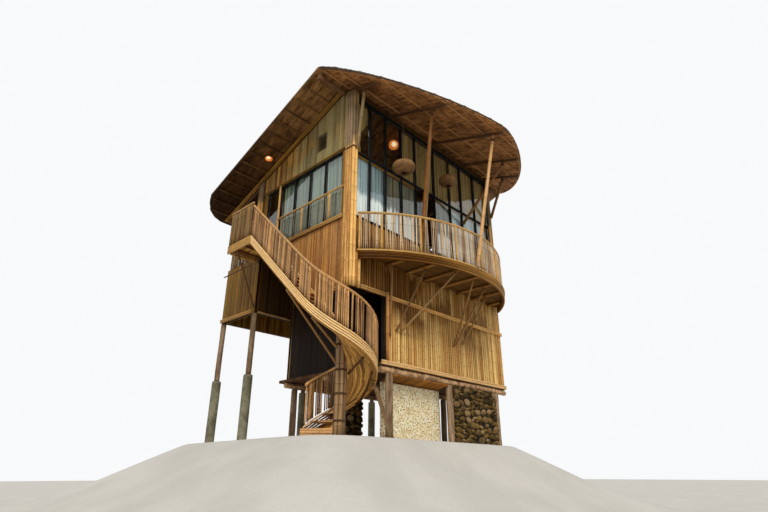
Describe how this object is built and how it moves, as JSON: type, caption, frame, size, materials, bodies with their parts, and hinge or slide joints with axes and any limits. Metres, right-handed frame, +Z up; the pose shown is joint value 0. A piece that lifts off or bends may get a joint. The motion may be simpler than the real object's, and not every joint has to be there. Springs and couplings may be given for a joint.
{
  "type": "bamboo stilt house",
  "caption": "Two-storey bamboo house on posts with a glass front, curved balcony, overhanging roof, side landing and winding stair.",
  "frame": {"origin": "middle of the roof's outline in plan, on the ground", "axes": "+X to the right along the glass front, +Y from the front to the back, +Z up"},
  "size_m": [9.7, 9.38, 9.9677],
  "materials": {
    "bamboo_poles": "satin",
    "bamboo_slats": "matt",
    "dark_slats": "matt",
    "grey_slats": "matt",
    "roof_weave": "matt",
    "trunks": "rough",
    "concrete": "rough",
    "plaster": "rough",
    "fieldstone": "rough",
    "black_timber": "satin",
    "window_glass": "clear",
    "curtain_cloth": "soft",
    "basket": "woven"
  },
  "bodies": {
    "root": {"trunk_posts": "trunks", "concrete_footings": "concrete", "log_beams": "trunks", "plaster_panel": "plaster", "stone_walls": "fieldstone", "slat_soffit": "dark_slats", "lower_floor": "dark_slats", "lower_front_wall": "bamboo_slats", "lower_side_wall": "dark_slats", "lower_right_wall": "bamboo_slats", "lower_back_wall": "bamboo_slats", "trim_poles": "bamboo_poles", "front_band_wall": "bamboo_slats", "left_skirt_wall": "dark_slats", "wing_skirt": "bamboo_slats", "upper_floor": "dark_slats", "side_piers": "bamboo_slats", "left_gable": "grey_slats", "right_gable": "grey_slats", "gable_vents": "grey_slats", "window_frames": "black_timber", "window_glass": "window_glass", "window_rail": "bamboo_poles", "culm_posts": "bamboo_poles", "glass_wall_frame": "black_timber", "glass_wall_panes": "window_glass", "back_wall": "grey_slats", "roof_front": "roof_weave", "roof_back": "roof_weave", "ridge_beam": "dark_slats", "rafters": "bamboo_poles", "roof_battens": "bamboo_poles", "roof_struts": "bamboo_poles", "balcony_deck": "bamboo_slats", "balcony_edge": "bamboo_slats", "balcony_joists": "bamboo_poles", "balcony_handrail": "bamboo_poles", "balcony_balusters": "bamboo_poles", "balcony_props": "bamboo_poles", "landing": "bamboo_poles", "landing_rail": "bamboo_poles", "stair_treads": "dark_slats", "stair_strings": "bamboo_poles", "stair_soffit": "bamboo_slats", "stair_handrail": "bamboo_poles", "stair_balusters": "bamboo_poles", "stair_post": "bamboo_poles", "curtains": "curtain_cloth", "lamps": "basket"}
  },
  "joints": []
}
